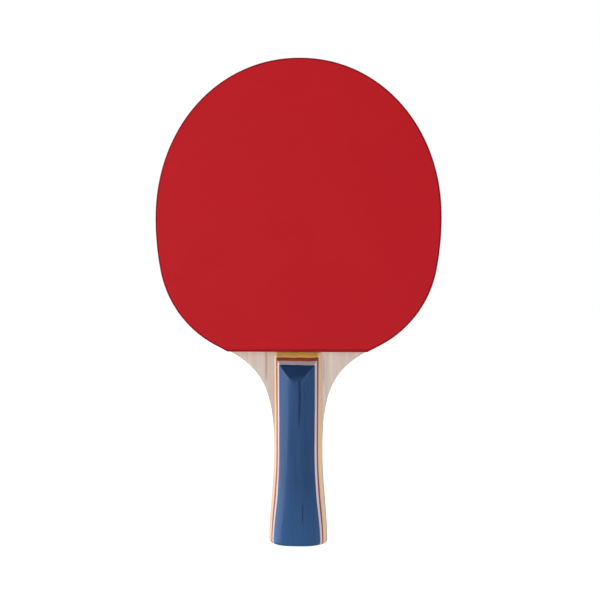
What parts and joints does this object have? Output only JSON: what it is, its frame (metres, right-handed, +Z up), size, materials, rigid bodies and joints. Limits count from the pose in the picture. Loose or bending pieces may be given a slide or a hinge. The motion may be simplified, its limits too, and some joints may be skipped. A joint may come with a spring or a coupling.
{
  "type": "table tennis paddle",
  "caption": "Table tennis paddle: a rounded plywood head with smooth rubber on both faces, on a flared handle of coloured wood layers.",
  "frame": {"origin": "middle of the butt end, halfway through the blade's thickness and across its width", "axes": "+Z up the handle to the tip of the head, +X across the head, +Y out of the black back face; the red front face looks along -Y"},
  "size_m": [0.15, 0.024, 0.254],
  "materials": {
    "core_wood": "raw light softwood, seen at the edge only",
    "cross_ply_wood": "raw veneer with the grain across the blade",
    "face_ply_wood": "sanded pale veneer, satin seal",
    "edge_tape": "plain black tape, satin",
    "tan_wood": "satin varnish",
    "red_wood": "dyed veneer, satin varnish",
    "white_wood": "pale veneer, satin varnish",
    "blue_wood": "dyed wood with fine dark grain, satin varnish",
    "glue": "dried clear latex glue",
    "sponge": "fine-celled sponge rubber",
    "red_rubber": "smooth, faint sheen",
    "black_rubber": "smooth, faint sheen"
  },
  "bodies": {
    "root": {"blade_core": "core_wood", "inner_ply_front": "cross_ply_wood", "inner_ply_back": "cross_ply_wood", "face_ply_front": "face_ply_wood", "face_ply_back": "face_ply_wood", "edge_tape": "edge_tape", "scale_base_front": "tan_wood", "scale_base_back": "tan_wood", "red_veneer_front": "red_wood", "red_veneer_back": "red_wood", "white_veneer_front": "white_wood", "white_veneer_back": "white_wood", "crown_front": "blue_wood", "crown_back": "blue_wood", "glue_film_front": "glue", "glue_film_back": "glue", "sponge_front": "sponge", "sponge_back": "sponge", "topsheet_front": "red_rubber", "topsheet_back": "black_rubber"}
  },
  "joints": []
}
